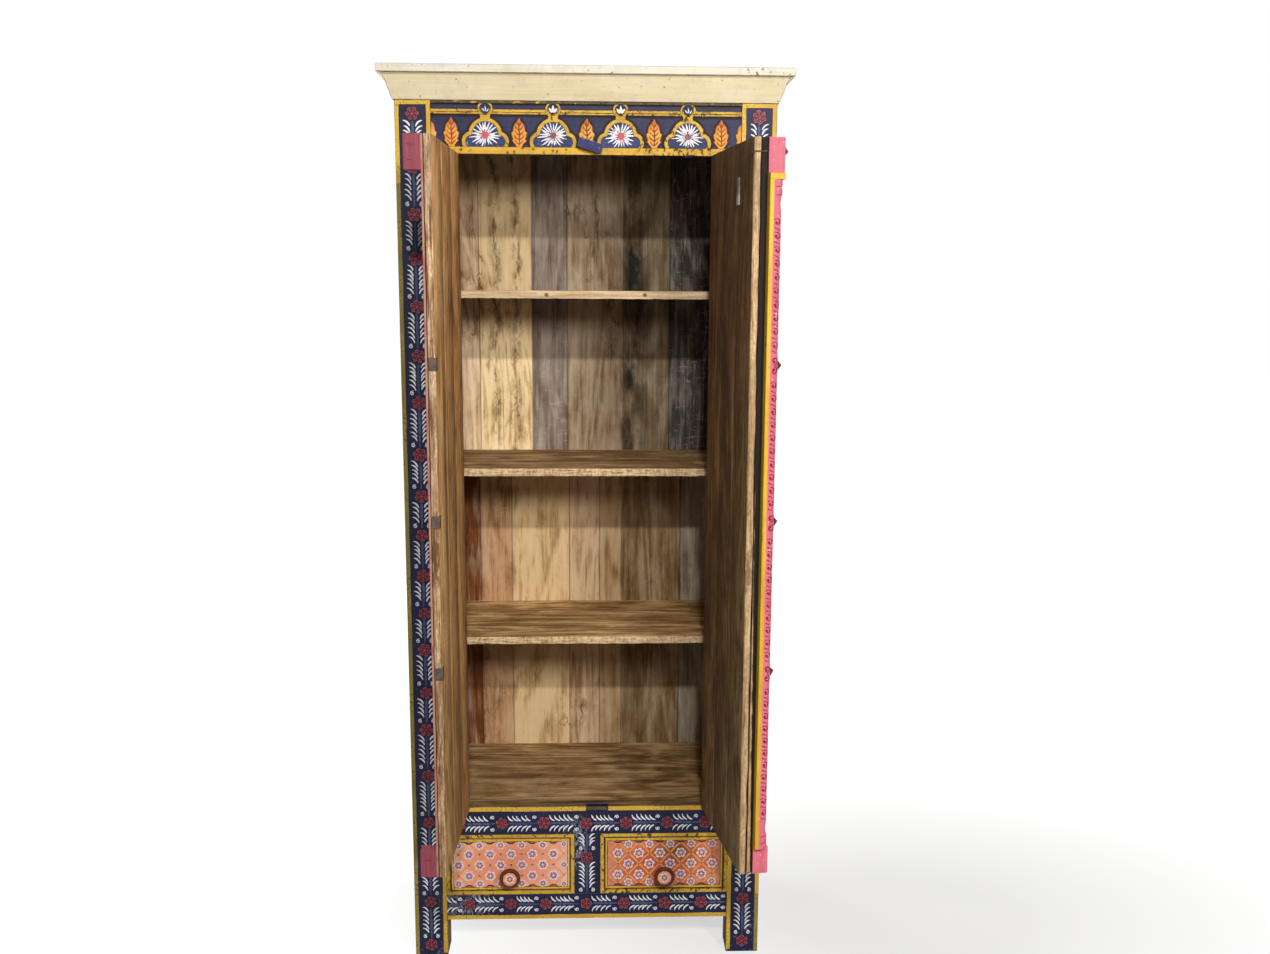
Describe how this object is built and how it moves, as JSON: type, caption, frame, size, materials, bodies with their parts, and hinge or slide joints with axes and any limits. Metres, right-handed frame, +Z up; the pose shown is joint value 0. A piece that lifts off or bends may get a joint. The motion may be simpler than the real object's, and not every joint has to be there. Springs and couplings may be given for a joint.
{
  "type": "painted two-door cupboard",
  "caption": "Tall narrow painted wooden cupboard with open plank doors, shelves inside, small drawers below, a carved arched frieze and a flared cornice.",
  "frame": {"origin": "floor level, centre of the whole object's outline at rest, with both doors open", "axes": "+Z up, -Y out of the front towards the viewer, +X to the viewer's right"},
  "size_m": [0.83, 0.7266, 1.917],
  "materials": {
    "blue_paint": "hand-brushed dark blue paint, worn",
    "yellow_paint": "hand-brushed yellow paint, worn",
    "orange_paint": "orange and pink painted lattice with flowers",
    "cream_paint": "scuffed cream paint",
    "pink_paint": "hand-brushed pink paint",
    "maroon_paint": "dark red-brown paint",
    "iron": "dull forged iron",
    "door_plank_wood": "old rough planks, dry brown",
    "back_plank_wood": "old planks of mixed tan, grey and brown",
    "shelf_wood": "waxed tan boards",
    "frame_wood": "plain brown wood"
  },
  "bodies": {
    "carcass": {"back_planks_lower": "back_plank_wood", "back_planks_upper": "back_plank_wood", "bottom_board": "shelf_wood", "bottom_rail": "blue_paint", "button_screw": "iron", "cornice_backing": "cream_paint", "cornice_front": "cream_paint", "cornice_left": "cream_paint", "cornice_right": "cream_paint", "drawer_bead_left": "yellow_paint", "drawer_bead_right": "yellow_paint", "drawer_post": "blue_paint", "drawer_runners": "frame_wood", "frame_hinges_left": "iron", "frame_hinges_right": "iron", "frieze_arches": "yellow_paint", "frieze_bands": "yellow_paint", "frieze_board": "blue_paint", "frieze_fields": "blue_paint", "frieze_leaves": "orange_paint", "mid_rail": "blue_paint", "rear_post_left": "frame_wood", "rear_post_right": "frame_wood", "rear_rails": "frame_wood", "shelf_1": "shelf_wood", "shelf_2": "shelf_wood", "shelf_3": "shelf_wood", "shelf_cleats_left": "frame_wood", "shelf_cleats_right": "frame_wood", "side_boards_left": "back_plank_wood", "side_boards_right": "back_plank_wood", "side_rails_left": "frame_wood", "side_rails_right": "frame_wood", "stile_left": "blue_paint", "stile_right": "blue_paint", "top_slab": "cream_paint"},
    "left_door": {"left_door_bottom_block": "pink_paint", "left_door_clips": "iron", "left_door_frame": "pink_paint", "left_door_hinges": "iron", "left_door_planks": "door_plank_wood", "left_door_top_block": "pink_paint"},
    "right_door": {"right_door_astragal": "yellow_paint", "right_door_bottom_block": "pink_paint", "right_door_column": "pink_paint", "right_door_frame": "pink_paint", "right_door_hinges": "iron", "right_door_planks": "door_plank_wood", "right_door_plate": "iron", "right_door_studs": "maroon_paint", "right_door_top_block": "pink_paint"},
    "drawer_left": {"drawer_left_box": "frame_wood", "drawer_left_front": "orange_paint", "drawer_left_knob": "maroon_paint"},
    "drawer_right": {"drawer_right_box": "frame_wood", "drawer_right_front": "orange_paint", "drawer_right_knob": "maroon_paint"},
    "turn_button": {"turn_button": "blue_paint"}
  },
  "joints": [
    {"name": "left_door_hinge", "type": "hinge", "parent": "carcass", "child": "left_door", "pos_m": [-0.3115, -0.04173, 1.0505], "axis": [0, 0, -1], "range_deg": [-92.4, 77.6]},
    {"name": "right_door_hinge", "type": "hinge", "parent": "carcass", "child": "right_door", "pos_m": [0.3115, -0.04173, 1.0505], "axis": [0, 0, 1], "range_deg": [-98.7, 71.3]},
    {"name": "drawer_left_slide", "type": "slide", "parent": "carcass", "child": "drawer_left", "axis": [0, -1, 0], "range_m": [0, 0.22]},
    {"name": "drawer_right_slide", "type": "slide", "parent": "carcass", "child": "drawer_right", "axis": [0, -1, 0], "range_m": [0, 0.22]},
    {"name": "turn_button_pivot", "type": "hinge", "parent": "carcass", "child": "turn_button", "pos_m": [0.007, -0.04523, 1.766], "axis": [0, 1, 0], "range_deg": [-107, 73]}
  ]
}
